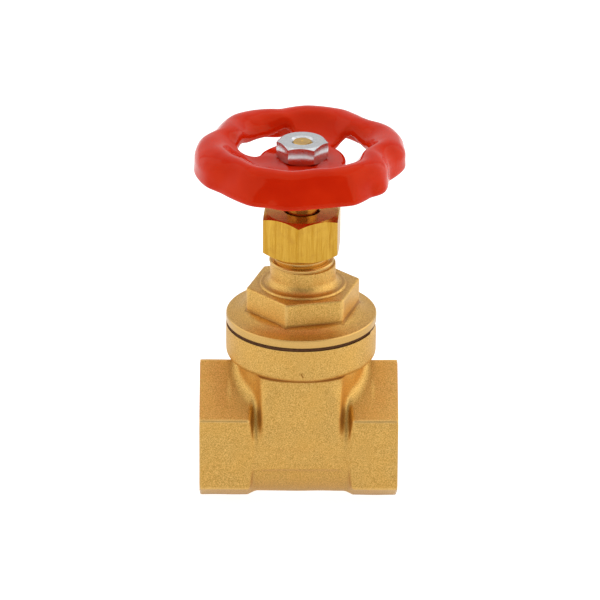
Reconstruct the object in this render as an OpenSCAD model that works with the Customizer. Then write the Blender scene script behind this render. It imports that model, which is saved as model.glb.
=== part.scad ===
// Non-rising-stem wedge gate valve with internally threaded pipe ends.
// Millimetres. The pipe axis is X, the stem axis is +Z, and the origin is
// where the two axes cross. The gate is drawn closed.

/* [Pipe ends] */
// Width across the flats of the hexagonal ends
hex_af = 38; // [37.5:0.1:39]
// Face to face length of the body
body_len = 57.5; // [56:0.1:60]
// Offset along the pipe of the middle of that length from the stem axis
face_shift = -0.65; // [-1:0.05:1]
// Distance from the stem axis to the inner side of each hexagonal end
hex_inner = 14; // [13.5:0.1:15]
// Radius of the tapped hole, at the thread crests
port_r = 15.145; // [14.8:0.005:15.2]
// Depth of the tapped hole
port_depth = 15; // [13:0.1:15.5]
// Radius of the flow bore between the ports
bore_r = 11.5; // [10:0.25:11.75]

/* [Body] */
// Radius of the round barrel between the hexagonal ends
barrel_r = 18.5; // [18.2:0.1:19]
// Half width of the gate housing along the pipe
housing_x = 11.6; // [11.2:0.1:12.5]
// Half width of the gate housing across the pipe
housing_y = 19.3; // [18.8:0.1:20]
// Corner radius of the gate housing
housing_corner = 1.8; // [1:0.1:4]
// Radius of the round shoulder under the flange
shoulder_r = 18.3; // [17.9:0.1:19]
// Radius of the round flange that carries the bonnet
flange_r = 21.75; // [21.4:0.05:22.2]
// Height of the flange's underside above the pipe axis
flange_low = 24.3; // [23.8:0.1:24.8]
// Height of the flange's sealing face
flange_top = 34.2; // [33.8:0.1:34.6]
// Radius of the flange's lower edge
flange_edge = 1.8; // [0.8:0.1:3]

/* [Bonnet] */
// Thickness of the fibre gasket
gasket_t = 0.95; // [0.6:0.05:1.2]
// Width across the flats of the bonnet's hexagon
bonnet_af = 29.2; // [28.5:0.1:30]
// Turn of the bonnet's hexagon about the stem axis, as tightened
bonnet_turn = 12.8; // [0:0.1:59]
// Radius of the plain neck
neck_r = 9.35; // [9.1:0.05:9.6]
// Radius of the neck's outside thread
neck_thread_r = 8.33; // [8.2:0.01:8.5]

/* [Packing nut] */
// Width across the flats
gland_af = 21.5; // [21:0.1:22]
// Turn of the packing nut about the stem axis, as tightened
gland_turn = 25.3; // [0:0.1:59]

/* [Stem and gate] */
// Radius of the plain stem
stem_r = 4.5; // [4.3:0.05:4.5]
// Lead of the stem's lifting thread
stem_lead = 3; // [2:0.5:4]
// Radius of the gate disc
disc_r = 13.6; // [13:0.1:13.6]
// Half thickness of the wedge on the pipe axis
wedge_half = 7.2; // [7:0.1:7.3]
// Slope of each wedge face from the vertical
wedge_angle = 4; // [3:0.5:4]

/* [Handwheel] */
// Largest radius of the handwheel, at a lobe
wheel_r = 30.5; // [29:0.1:32]
// Run-out of the wheel's rim from the stem axis, along X when the valve is closed
wheel_shift = -0.6; // [-0.8:0.1:0.8]
// Depth of the finger grips between the lobes
grip_depth = 2.8; // [2:0.1:3]
// Turn of the handwheel about the stem axis when the valve is closed
wheel_turn = 13.5; // [0:0.5:59]
// Thickness of the plastic coating
coat_t = 0.6; // [0.4:0.05:0.7]
// Thickness of the pressed steel
steel_t = 1.4; // [1.2:0.1:1.6]

/* [Hidden] */
$fn = 96;

over = 1;          // how far a cutting or clipping shape runs past a surface
sliver = 0.01;     // smallest offset that keeps two faces apart
run_gap = 0.06;    // clearance between turning or sliding pieces
bear_gap = 0.03;   // space left between pieces that bear on each other
guide_gap = 0.1;   // clearance of the gate on the guide ribs
collar_gap = 0.04; // space on each side of the height collar_low
square_gap = 0.06; // clearance round the square drive

cast_brass = [0.78, 0.62, 0.34];
stem_brass = [0.8, 0.63, 0.3];
packing_black = [0.2, 0.2, 0.21];

// Body
port_chamfer = 1.7;
end_chamfer = 0.5;
shoulder_low = 4;
seat_r = disc_r + 0.3;   // outer radius of the two raised seats
core_half = 12;          // half length along X that takes in wedge and seats
pocket_r = 16;           // round bottom of the gate pocket
pocket_gap = 0.8;        // pocket wall behind the seat faces
pocket_x = 14;           // half length of the pocket cutter
guide_x = 1.5;           // half width of the body's guide ribs
guide_y = 12.9;          // distance of the ribs from the stem axis
guide_low = -6;
spigot_bore_r = 17.6;    // tapped mouth for the bonnet
spigot_low = 26.2;
pocket_top = spigot_low + 0.5;

// Bonnet, heights along the stem axis
spigot_end = spigot_low + 0.4;
spigot_r = spigot_bore_r - 0.05;
spigot_chamfer = 0.7;
rim_low = flange_top + gasket_t;
rim_top = rim_low + 2.4;
rim_r = flange_r + 0.05;
cone_top = 39.4;
hex_top = 46.1;
ring_top = 46.9;
ring_r = 12.5;
cove_foot_r = ring_r - 0.4;
cove_r = cove_foot_r - neck_r;
neck_top = 54.1;
thread_low = 54.75;
thread_top = 63.6;
neck_pitch = 1.337;
neck_root_r = neck_thread_r - 0.7;
cavity_top = 43.5;
cavity_r = 8;
stop_pocket_r = 8.4;
collar_low = 45.12;
collar_top = 47.3;
collar_r = 7;
guide_top = 50;
chamber_r = 6.6;
chamber_chamfer = 0.5;

// Packing rings, follower and nut
packing_h = 2.9;
follower_low = guide_top + 8.9;
follower_step = thread_top + 0.7;
follower_head_r = neck_thread_r - 0.3;
follower_bore_r = stem_r + 0.12;
gland_low = 56.9;
gland_top = 69.3;
gland_roof = 66.6;
gland_bore_r = 5.05;
gland_chamfer = 0.7;

// Stem
stem_low = 11.6;
lift_root_r = stem_r - 1.3;
lift_top = collar_low - 4;
square_half = 3.5;
screw_r = 2.95;
screw_chamfer = 0.6;
stem_top = 90.6;

// Gate
boss_top = 18.2;
boss_r = 7;
boss_inset = 0.4; // boss flats, in from the wedge faces
nut_low = 8.2;

// Handwheel
hub_top = 85.4;
hub_r = 12.6;
skirt_low = 81.2;
grip_r = 8;
window_r = 18.6;
window_turn = 1.5;  // of the first window, past wheel_turn
window_apex = 3.2;  // radius where the straight sides of a window would meet
window_end = [30, 16.4]; // [x, y] where a side leaves the window's cutter
cutter_low = 70;    // start and height of cutters through the wheel
cutter_h = 30;
shell_t = steel_t + 2 * coat_t;
hub_low = hub_top - shell_t;

// Handwheel nut
wheel_nut_af = 12.9;
wheel_nut_turn = -3.3;
wheel_nut_h = 5.4;
wheel_nut_land = 6.35;
wheel_nut_bore_r = 3;
wheel_nut_chamfer = 0.5;

// ---- shared shapes ----

// Corner radius of a hexagon from its width across the flats
function corner_r(af) = af / sqrt(3);

// Thread profile of equal ridges as [radius, height] points; flanks holds the four
// heights within a pitch where a ridge leaves the root, meets and leaves the crest, and ends
function ridges(root_r, crest_r, low, pitch, count, flanks) =
  [for (i = [0 : count - 1]) each [
    [root_r, low + pitch * i + flanks[0]],
    [crest_r, low + pitch * i + flanks[1]],
    [crest_r, low + pitch * i + flanks[2]],
    [root_r, low + pitch * i + flanks[3]]]];

// Cylinder along X from x0 to x1
module x_cylinder(r, x0, x1) {
  translate([x0, 0, 0]) rotate([0, 90, 0]) cylinder(r = r, h = x1 - x0);
}

// Solid of revolution about X, from [radius, x] points
module x_lathe(points) {
  rotate([0, 90, 0]) rotate_extrude() polygon(points);
}

// Plain ring about Z
module ring(r_in, r_out, z0, z1) {
  rotate_extrude() translate([r_in, z0]) square([r_out - r_in, z1 - z0]);
}

// Hexagonal nut blank with both ends chamfered at 30 degrees outside the radius land
module hex_blank(af, turn, z0, z1, land) {
  clip_r = corner_r(af) + 0.2;
  drop = (clip_r - land) * tan(30);
  intersection() {
    rotate([0, 0, turn]) translate([0, 0, z0]) linear_extrude(z1 - z0)
      circle(r = corner_r(af), $fn = 6);
    rotate_extrude() polygon([[0, z0], [land, z0], [clip_r, z0 + drop],
      [clip_r, z1 - drop], [land, z1], [0, z1]]);
  }
}

// Rectangle with round corners, centred
module rounded_rect(half_x, half_y, corner) {
  square([2 * half_x, 2 * (half_y - corner)], center = true);
  square([2 * (half_x - corner), 2 * half_y], center = true);
  for (sx = [-1, 1], sy = [-1, 1])
    translate([sx * (half_x - corner), sy * (half_y - corner)]) circle(r = corner);
}

// Block with the taper of the wedge, grown by grow on each face
module taper(grow, z0, z1, half_y) {
  x0 = wedge_half + grow + z0 * tan(wedge_angle);
  x1 = wedge_half + grow + z1 * tan(wedge_angle);
  rotate([90, 0, 0]) translate([0, 0, -half_y]) linear_extrude(2 * half_y)
    polygon([[-x0, z0], [x0, z0], [x1, z1], [-x1, z1]]);
}

// Upright bars on the +Y and -Y sides, from y0 to y1 off the stem axis
module side_bars(half_x, y0, y1, z0, z1) {
  for (s = [-1, 1])
    translate([-half_x, s > 0 ? y0 : -y1, z0]) cube([2 * half_x, y1 - y0, z1 - z0]);
}

// ---- body ----

// Distance from the stem axis to a faced end, side = 1 for +X or -1 for -X
function face(side) = body_len / 2 + side * face_shift;

// Turns a shape drawn towards +X to the given side
module to_side(side) {
  mirror([side > 0 ? 0 : 1, 0, 0]) children();
}

// Flat-sided box through the barrel, turned in towards the flange, and a round shoulder
module housing() {
  top = flange_low + flange_edge;
  intersection() {
    linear_extrude(top) rounded_rect(housing_x, housing_y, housing_corner);
    rotate_extrude() polygon([[0, -over], [23, -over], [23, 10], [20.2, 22],
      [20.2, top + over], [0, top + over]]);
  }
  translate([0, 0, shoulder_low]) cylinder(r = shoulder_r, h = top - shoulder_low);
}

module hex_end(side) {
  hex_r = corner_r(hex_af);
  clip_r = hex_r + 0.1;
  back_r = barrel_r + 0.5;
  back_slope = 0.35;
  end_x = face(side);
  to_side(side) intersection() {
    translate([hex_inner, 0, 0]) rotate([0, 90, 0]) linear_extrude(end_x - hex_inner)
      circle(r = hex_r, $fn = 6);
    x_lathe([[0, hex_inner], [back_r, hex_inner],
      [clip_r, hex_inner + (clip_r - back_r) * back_slope],
      [clip_r, end_x - end_chamfer], [hex_r - end_chamfer, end_x], [0, end_x]]);
  }
}

// Round flange with its lower edge rounded
module flange() {
  edge_z = flange_low + flange_edge;
  rotate_extrude() {
    translate([0, flange_low]) square([flange_r - flange_edge, flange_top - flange_low]);
    translate([0, edge_z]) square([flange_r, flange_top - edge_z]);
    intersection() {
      translate([flange_r - flange_edge, edge_z]) circle(r = flange_edge);
      square([flange_r + over, flange_top]);
    }
  }
}

module body_outside() {
  hex_end(1);
  hex_end(-1);
  x_cylinder(barrel_r, -hex_inner - 0.5, hex_inner + 0.5);
  housing();
  flange();
}

module gate_pocket() {
  intersection() {
    taper(pocket_gap, -pocket_r - over, pocket_top, pocket_r + over);
    rotate([90, 0, 90]) translate([0, 0, -pocket_x]) linear_extrude(2 * pocket_x) {
      circle(r = pocket_r);
      translate([-pocket_r, 0]) square([2 * pocket_r, pocket_top]);
    }
  }
}

// Annular seats standing in from the pocket wall to the wedge's faces
module seats() {
  difference() {
    x_cylinder(seat_r, -core_half, core_half);
    x_cylinder(bore_r, -core_half - over, core_half + over);
    taper(bear_gap, -pocket_r - over, spigot_low, pocket_r + over);
  }
}

// Tapped hole with a chamfered mouth
module port(side) {
  end_x = face(side);
  past = 0.3; // the chamfer's cone runs on past the face
  to_side(side) {
    x_cylinder(port_r, end_x - port_depth, end_x + over);
    x_lathe([[0, end_x - port_chamfer], [port_r - sliver, end_x - port_chamfer],
      [port_r + port_chamfer + past, end_x + past], [0, end_x + past]]);
  }
}

module body() {
  color(cast_brass) difference() {
    body_outside();
    difference() {
      gate_pocket();
      seats();
      side_bars(guide_x, guide_y, pocket_r + over, guide_low, spigot_low - 0.3);
    }
    x_cylinder(bore_r, -20, 20);
    for (side = [1, -1]) port(side);
    translate([0, 0, spigot_low]) cylinder(r = spigot_bore_r, h = 20);
  }
}

// ---- bonnet; profiles are [radius, height] points ----

module spigot_and_cone() {
  rotate_extrude() polygon([[0, spigot_end], [spigot_r - spigot_chamfer, spigot_end],
    [spigot_r, spigot_end + spigot_chamfer], [spigot_r, rim_low], [rim_r, rim_low],
    [rim_r, rim_top - 0.35], [rim_r - 0.4, rim_top], [19, rim_top + 0.5],
    [16.9, cone_top - 0.25], [14.4, cone_top], [0, cone_top]]);
}

// Hexagon with a domed top
module bonnet_hex() {
  hex_r = corner_r(bonnet_af);
  low = cone_top - over;
  intersection() {
    rotate([0, 0, bonnet_turn]) translate([0, 0, low]) linear_extrude(ring_top - low)
      circle(r = hex_r, $fn = 6);
    rotate_extrude() polygon([[0, low], [hex_r - 0.35, low], [hex_r - 0.35, hex_top - 0.7],
      [hex_r - 1.4, hex_top], [ring_r + 0.3, hex_top + 0.25], [ring_r, ring_top],
      [0, ring_top]]);
  }
}

// Plain neck with a cove at its foot
module neck() {
  chamfer = 0.5;
  rotate_extrude() difference() {
    polygon([[0, ring_top - over], [cove_foot_r, ring_top - over], [cove_foot_r, ring_top],
      [neck_r, ring_top + cove_r], [neck_r, neck_top - chamfer],
      [neck_r - chamfer, neck_top], [0, neck_top]]);
    translate([cove_foot_r, ring_top + cove_r]) circle(r = cove_r);
  }
}

module neck_thread() {
  count = floor((thread_top - thread_low - 0.4) / neck_pitch);
  rotate_extrude() polygon(concat(
    [[0, neck_top - over], [neck_root_r, neck_top - over], [neck_root_r, thread_low]],
    ridges(neck_root_r, neck_thread_r, thread_low, neck_pitch, count, [0.12, 0.5, 0.84, 1.22]),
    [[neck_root_r, thread_top], [0, thread_top]]));
}

// Gate space, seat for the stop ring, collar, stem guide and packing chamber
module bonnet_bore() {
  stop_top = collar_low - 2 * sliver;
  collar_bore_r = collar_r + run_gap;
  collar_roof = collar_top + run_gap;
  guide_r = stem_r + run_gap;
  mouth_r = chamber_r + chamber_chamfer;
  rotate_extrude() polygon([[0, 20], [15.3, 20], [15.3, 31], [11.6, 37.5],
    [cavity_r, cavity_top - 1.5], [cavity_r, cavity_top], [stop_pocket_r, cavity_top],
    [stop_pocket_r, stop_top], [collar_bore_r, stop_top], [collar_bore_r, collar_roof],
    [guide_r, collar_roof], [guide_r, guide_top], [chamber_r, guide_top],
    [chamber_r, thread_top - chamber_chamfer], [mouth_r, thread_top],
    [mouth_r, thread_top + over], [0, thread_top + over]]);
}

module bonnet() {
  color(cast_brass) difference() {
    union() {
      spigot_and_cone();
      bonnet_hex();
      neck();
      neck_thread();
    }
    bonnet_bore();
  }
}

module bonnet_gasket() {
  color([0.28, 0.2, 0.17]) ring(spigot_bore_r - 0.04, flange_r - 0.05, flange_top, rim_low);
}

// ---- gate ----

module gate_wedge() {
  color([0.74, 0.58, 0.3]) difference() {
    union() {
      intersection() {
        taper(0, -disc_r, disc_r, disc_r + over);
        x_cylinder(disc_r, -core_half, core_half);
      }
      intersection() {
        cylinder(r = boss_r, h = boss_top);
        taper(-boss_inset, 0, boss_top, disc_r);
      }
    }
    // slots that run on the guide ribs
    side_bars(guide_x + guide_gap, guide_y - guide_gap, disc_r + over,
      -disc_r - over, disc_r + over);
    // lifting thread above, clearance for the stem below, then the chamfered mouth
    translate([0, 0, nut_low - over]) cylinder(r = stem_r + run_gap, h = 20);
    translate([0, 0, -disc_r - over]) cylinder(r = stem_r + 0.2, h = nut_low + disc_r + over);
    translate([0, 0, boss_top - 0.6]) cylinder(r1 = stem_r, r2 = stem_r + 0.8, h = 0.8);
  }
}

// ---- stem and its seals ----

module stem() {
  count = floor((lift_top - stem_low - 1) / stem_lead);
  shank_top = hub_low - 0.05;
  color(stem_brass) union() {
    // lifting thread, drawn as equal ridges, with the collar and plain shank
    rotate_extrude() polygon(concat(
      [[0, stem_low], [lift_root_r, stem_low]],
      ridges(lift_root_r, stem_r, stem_low, stem_lead, count, [0.25, 0.65, 1.65, 2.05]),
      [[lift_root_r, lift_top + 1.2], [stem_r, lift_top + 2.2],
       [stem_r, collar_low + collar_gap], [collar_r, collar_low + collar_gap],
       [collar_r, collar_top], [stem_r, collar_top], [stem_r, shank_top], [0, shank_top]]));
    // square drive, trimmed round at its corners
    intersection() {
      translate([-square_half, -square_half, hub_low - 1])
        cube([2 * square_half, 2 * square_half, shell_t + 0.9]);
      cylinder(r = stem_r, h = 100);
    }
    // outside thread for the handwheel nut
    rotate_extrude() polygon([[0, hub_low], [screw_r, hub_low],
      [screw_r, stem_top - screw_chamfer], [screw_r - screw_chamfer, stem_top],
      [0, stem_top]]);
  }
}

module stem_stop_ring() {
  color([0.8, 0.64, 0.32])
    ring(stem_r + 0.15, stop_pocket_r - 0.02, cavity_top + 0.1, collar_low - collar_gap);
}

// Packing ring, counted upwards from 0
module packing_ring(i) {
  low = guide_top + bear_gap + i * (packing_h + bear_gap);
  color(packing_black) ring(stem_r + bear_gap, chamber_r - bear_gap, low, low + packing_h);
}

module packing_ring_lower() { packing_ring(0); }
module packing_ring_middle() { packing_ring(1); }
module packing_ring_upper() { packing_ring(2); }

module gland_follower() {
  sleeve_r = chamber_r - run_gap;
  top = gland_roof - bear_gap;
  color(stem_brass) rotate_extrude() polygon([[follower_bore_r, follower_low],
    [sleeve_r, follower_low], [sleeve_r, follower_step], [follower_head_r, follower_step],
    [follower_head_r, top], [follower_bore_r, top]]);
}

module packing_nut() {
  color([0.87, 0.67, 0.24]) difference() {
    hex_blank(gland_af, gland_turn, gland_low, gland_top, gland_af / 2 - 0.3);
    translate([0, 0, gland_low - over])
      cylinder(r = neck_thread_r + 0.05, h = gland_roof - gland_low + over);
    translate([0, 0, gland_low - sliver])
      cylinder(r1 = neck_thread_r + gland_chamfer, r2 = neck_thread_r, h = gland_chamfer);
    translate([0, 0, gland_roof - over]) cylinder(r = gland_bore_r, h = 10);
  }
}

// ---- handwheel ----

// Plan outline with six finger grips, set in by inset
module grip_outline(inset) {
  difference() {
    circle(r = wheel_r - inset);
    for (k = [0 : 5]) rotate(wheel_turn + 30 + 60 * k)
      translate([wheel_r - grip_depth + grip_r, 0]) circle(r = grip_r + inset);
  }
}

// Upper surface from the hub outwards:
// [radius, height above hub_top, outward normal's radial part, its Z part]
dish = [
  [13.2, 0, 0, 1], [15.2, 0.3, -0.3, 0.95], [19.6, 2.9, -0.55, 0.84],
  [21.6, 4.9, -0.55, 0.84], [23.2, 5.9, -0.3, 0.95], [24.8, 6.1, 0.05, 1],
  [26.8, 5.6, 0.35, 0.94], [28.6, 4.4, 0.65, 0.76], [29.8, 2.9, 0.88, 0.47],
  [wheel_r, 0.9, 1, 0]];

// Solid under the upper surface, set in by inset, down to low
module dome(inset, low) {
  translate([wheel_shift, 0, 0]) intersection() {
    translate([0, 0, low]) linear_extrude(20) grip_outline(inset);
    rotate_extrude() polygon(concat([[0, low], [0, hub_top - inset]],
      [for (p = dish) [p[0] - inset * p[2], hub_top + p[1] - inset * p[3]]],
      [[wheel_r - inset, low]]));
  }
}

// Three windows, grown by grow
module windows(grow) {
  for (k = [0 : 2]) rotate(wheel_turn + window_turn + 120 * k)
    translate([0, 0, cutter_low]) linear_extrude(cutter_h) intersection() {
      difference() {
        circle(r = window_r + grow);
        circle(r = hub_r - grow);
      }
      polygon([[window_apex - grow * 1.6, 0], [window_end[0], -window_end[1] - grow],
        [window_end[0], window_end[1] + grow]]);
    }
}

// Pressed steel shell, grown by grow
module core_shape(grow) {
  difference() {
    dome(coat_t - grow, skirt_low + coat_t - grow);
    dome(coat_t + steel_t + grow, skirt_low - over);
    windows(coat_t - grow);
  }
}

module square_hole() {
  half = square_half + square_gap;
  translate([-half, -half, cutter_low]) cube([2 * half, 2 * half, cutter_h]);
}

module handwheel_core() {
  color([0.55, 0.55, 0.57]) difference() {
    core_shape(0);
    square_hole();
  }
}

module handwheel_coating() {
  color([0.78, 0.11, 0.06]) difference() {
    dome(0, skirt_low);
    dome(shell_t, skirt_low - over);
    windows(0);
    core_shape(0.02);
    square_hole();
  }
}

module handwheel_nut() {
  bore = wheel_nut_bore_r;
  mouth = bore + wheel_nut_chamfer;
  top = hub_top + wheel_nut_h;
  color([0.75, 0.76, 0.78]) difference() {
    hex_blank(wheel_nut_af, wheel_nut_turn, hub_top + bear_gap, top, wheel_nut_land);
    translate([0, 0, hub_top - over]) cylinder(r = bore, h = 10);
    translate([0, 0, top - 0.45]) cylinder(r1 = bore, r2 = mouth, h = wheel_nut_chamfer);
    translate([0, 0, hub_top - 0.02]) cylinder(r1 = mouth, r2 = bore, h = wheel_nut_chamfer);
  }
}

body();
bonnet();
bonnet_gasket();
gate_wedge();
stem();
stem_stop_ring();
packing_ring_lower();
packing_ring_middle();
packing_ring_upper();
gland_follower();
packing_nut();
handwheel_core();
handwheel_coating();
handwheel_nut();
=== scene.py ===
"""Looks of a brass wedge gate valve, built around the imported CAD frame.

The stem stands along +Z through the origin, the flow path runs along X at z = 0 and the
camera looks from -Y.
"""
import bmesh
import bpy
import math
import numpy as np
from functools import reduce
from itertools import combinations
from mathutils import Matrix, Vector


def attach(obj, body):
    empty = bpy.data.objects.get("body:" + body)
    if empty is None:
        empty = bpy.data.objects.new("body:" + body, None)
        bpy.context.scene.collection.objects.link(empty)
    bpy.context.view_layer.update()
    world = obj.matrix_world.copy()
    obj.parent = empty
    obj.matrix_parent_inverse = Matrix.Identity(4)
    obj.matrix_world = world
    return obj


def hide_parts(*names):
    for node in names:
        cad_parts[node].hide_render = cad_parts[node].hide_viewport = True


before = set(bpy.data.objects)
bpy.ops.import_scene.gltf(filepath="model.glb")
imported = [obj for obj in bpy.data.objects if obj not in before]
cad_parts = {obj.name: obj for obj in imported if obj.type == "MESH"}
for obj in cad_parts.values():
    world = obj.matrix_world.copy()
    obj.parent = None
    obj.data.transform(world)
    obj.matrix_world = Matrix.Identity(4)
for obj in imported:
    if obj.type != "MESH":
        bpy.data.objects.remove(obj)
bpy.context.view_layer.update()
PI = math.pi

# ---------------------------------------------------------------- dimensions, mm
HEX_AF = 38.0                                # hexagonal ends, across flats
X_LEFT, X_RIGHT = 29.4, 28.1                 # how far each end reaches from the stem axis
HEX_IN = 14.0                                # where the hexagonal ends begin
PORT_R, PORT_DEPTH, PORT_PITCH = 15.145, 15.0, 2.309
PORT_THREAD_R = 16.55
BORE_R = 11.5                                # flow path
BARREL_R, SHOULDER_R = 18.5, 18.3
HOUSING_Y = 19.3                             # half depth of the housing
HOUSING_DRAFT = 0.042                        # growth of its half width with height
FLANGE_R, FLANGE_LOW, FLANGE_TOP, FLANGE_EDGE = 21.75, 24.3, 34.2, 1.7
RIM_LOW, RIM_TOP = 35.15, 37.55              # bonnet's rim, above the gasket
BONNET_AF, BONNET_TURN, BONNET_TOP = 29.2, math.radians(12.8), 46.3
DIE_SHIFT = 0.45                             # the dies of the upper half sat a little to +X
RING_R, RING_TOP = 12.5, 46.9                # ring on top of the bonnet's hexagon
NECK_R, NECK_TOP = 9.35, 54.15
NECK_THREAD_R, NECK_THREAD_TOP, NECK_PITCH = 8.33, 63.6, 1.337
NECK_THREAD_START = 54.397                   # sets the phase of neck and nut threads
GLAND_AF, GLAND_TURN = 21.5, 25.3            # packing nut; turn in degrees
GLAND_LOW, GLAND_ROOF, GLAND_TOP = 56.9, 66.6, 69.3
PACKING_LOW, PACKING_STEP, PACKING_HEIGHT = 50.03, 2.93, 2.9
WEDGE_HALF, DISC_R = 7.2, 13.6               # half thickness at z = 0, and disc radius
TAPER = math.tan(math.radians(4))
LIFT_PITCH, LIFT_LOW = 3.0, 11.6             # stem's left-hand thread and its lower end
M6_PITCH, M6_START, M6_TOP = 1.0, 84.0, 90.6
SQUARE_HALF = 3.5                            # stem's square; the wheel's hole has a gap
HUB_TOP, SKIRT_LOW = 85.4, 81.2
COAT, SHELL = 0.6, 2.6                       # coating, and the whole wheel's sheet
WHEEL_R, WHEEL_SHIFT = 30.4, -0.6


# ---------------------------------------------------------------- mesh tools
def solid(verts, quads=(), tris=()):
    """An object from a closed mesh, with its faces turned outwards."""
    verts = np.asarray(verts, np.float32)
    quads = np.asarray(quads, np.int32).reshape(-1, 4)
    tris = np.asarray(tris, np.int32).reshape(-1, 3)
    loops = np.concatenate([quads.ravel(), tris.ravel()])
    starts = np.concatenate([np.arange(len(quads)) * 4, quads.size + np.arange(len(tris)) * 3])
    mesh = bpy.data.meshes.new("part")
    mesh.vertices.add(len(verts))
    mesh.vertices.foreach_set("co", verts.ravel())
    mesh.loops.add(len(loops))
    mesh.loops.foreach_set("vertex_index", loops)
    mesh.polygons.add(len(starts))
    mesh.polygons.foreach_set("loop_start", starts.astype(np.int32))
    mesh.update(calc_edges=True)
    mesh.validate()
    if volume(mesh) < 0:
        mesh.flip_normals()
    obj = bpy.data.objects.new("part", mesh)
    bpy.context.scene.collection.objects.link(obj)
    return obj


def points_of(mesh):
    flat = np.zeros(len(mesh.vertices) * 3, np.float32)
    mesh.vertices.foreach_get("co", flat)
    return flat.reshape(-1, 3).astype(float)


def volume(mesh):
    mesh.calc_loop_triangles()
    tris = np.zeros(len(mesh.loop_triangles) * 3, np.int32)
    mesh.loop_triangles.foreach_get("vertices", tris)
    a, b, c = points_of(mesh)[tris.reshape(-1, 3).T]
    return float(np.einsum("ij,ij->i", a, np.cross(b, c)).sum() / 6)


def evaluated(obj):
    graph = bpy.context.evaluated_depsgraph_get()
    return bpy.data.meshes.new_from_object(obj.evaluated_get(graph))


def boole(obj, tool, operation):
    """Closed mesh obj becomes obj (operation) tool. The tool is used up."""
    before = volume(obj.data)
    modifier = obj.modifiers.new("b", "BOOLEAN")
    modifier.operation, modifier.object, modifier.solver = operation, tool, "MANIFOLD"
    mesh = evaluated(obj)
    # the manifold solver can give up and change nothing; the exact one then takes over
    if len(mesh.vertices) == 0 or abs(volume(mesh) - before) < 1e-9:
        modifier.solver = "EXACT"
        mesh = evaluated(obj)
    obj.modifiers.remove(modifier)
    old, spent = obj.data, tool.data
    obj.data = mesh
    bpy.data.meshes.remove(old)
    bpy.data.objects.remove(tool)
    bpy.data.meshes.remove(spent)
    return obj


def cut(obj, tool):
    return boole(obj, tool, "DIFFERENCE")


def add(obj, tool):
    return boole(obj, tool, "UNION")


def keep(obj, tool):
    return boole(obj, tool, "INTERSECT")


def along_x(obj, sign=1):
    """Lays a Z-axis shape along +X, or along -X with sign -1."""
    obj.data.transform(Matrix.Rotation(math.radians(90 * sign), 4, "Y"))
    return obj


def lathe(profile, sides=128):
    """Solid of revolution of (radius, z) points; radius 0 is a pole.

    A profile that neither starts nor ends at a pole is a closed ring section.
    """
    closed = profile[0][0] > 1e-9 and profile[-1][0] > 1e-9
    angles = np.arange(sides) * 2 * PI / sides
    verts, rows = [], []
    for radius, z in profile:
        if radius <= 1e-9:
            rows.append([len(verts)] * sides)
            verts.append((0, 0, z))
        else:
            rows.append(list(range(len(verts), len(verts) + sides)))
            verts += [(radius * math.cos(a), radius * math.sin(a), z) for a in angles]
    quads, tris = [], []
    for i in range(len(rows) if closed else len(rows) - 1):
        low, top = rows[i], rows[(i + 1) % len(rows)]
        low_pole, top_pole = low[0] == low[1], top[0] == top[1]
        for k in range(sides):
            j = (k + 1) % sides
            if low_pole and top_pole:
                continue
            if low_pole:
                tris.append((low[k], top[j], top[k]))
            elif top_pole:
                tris.append((low[k], low[j], top[k]))
            else:
                quads.append((low[k], low[j], top[j], top[k]))
    return solid(verts, quads, tris)


def turned(profile, sides=128):
    """Solid bar turned to an outer profile of (radius, z), with flat ends."""
    return lathe([(0, profile[0][1]), *profile, (0, profile[-1][1])], sides)


def cyl(radius, z0, z1, sides=128):
    return turned([(radius, z0), (radius, z1)], sides)


def prism(outline, z0, z1):
    """Upright prism on (x, y) points that are star-shaped about their mean."""
    plan = np.asarray(outline, float)
    count = len(plan)
    x, y = plan.mean(0)
    verts = np.concatenate([np.c_[plan, np.full(count, z0)], np.c_[plan, np.full(count, z1)],
                            [[x, y, z0], [x, y, z1]]])
    i = np.arange(count)
    j = (i + 1) % count
    quads = np.c_[i, j, j + count, i + count]
    tris = np.concatenate([np.c_[j, i, np.full(count, 2 * count)],
                           np.c_[i + count, j + count, np.full(count, 2 * count + 1)]])
    return solid(verts, quads, tris)


def box(x0, x1, y0, y1, z0, z1):
    return prism([(x0, y0), (x1, y0), (x1, y1), (x0, y1)], z0, z1)


def cut_sides(obj, half_x, inner, outer, z0, z1):
    """Cuts a box out of the -Y side and out of the +Y side."""
    for side in (-1, 1):
        obj = cut(obj, box(-half_x, half_x, *sorted((side * inner, side * outer)), z0, z1))
    return obj


def thread(section, pitch, z0, z1, sides=96, left=False):
    """Closed helical rod that reaches past z0 and z1.

    section lists (share of the pitch, radius), from 0 up to, not including, 1.
    """
    size = len(section)
    turns = math.ceil((z1 - z0) / pitch) + 2
    last = turns * size
    base = z0 - pitch * 1.5
    hand = -1 if left else 1
    verts, index = [], {}
    for i in range(sides):
        angle = 2 * PI * i / sides
        # the first column is one pitch longer, to meet the last one after a full turn
        for j in range(last + 1 + (size if i == 0 else 0)):
            share, radius = section[j % size]
            z = base + pitch * (j // size + share) + pitch * i / sides
            index[i, j] = len(verts)
            verts.append((radius * math.cos(angle), radius * math.sin(angle) * hand, z))
    quads = []
    for i in range(sides):
        column, up = (i + 1, 0) if i < sides - 1 else (0, size)
        for j in range(last):
            quads.append((index[i, j], index[column, j + up],
                          index[column, j + up + 1], index[i, j + 1]))
    low_tip, top_tip = len(verts), len(verts) + 1
    verts += [(0, 0, base - 0.3 * pitch), (0, 0, base + pitch * (turns + 1.3))]
    low = [index[i, 0] for i in range(sides)] + [index[0, j] for j in range(size, 0, -1)]
    top = [index[i, last] for i in range(sides)]
    top += [index[0, last + j] for j in range(size, 0, -1)]
    tris = [(low_tip, low[(i + 1) % len(low)], low[i]) for i in range(len(low))]
    tris += [(top_tip, top[i], top[(i + 1) % len(top)]) for i in range(len(top))]
    return solid(verts, quads, tris)


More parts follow.
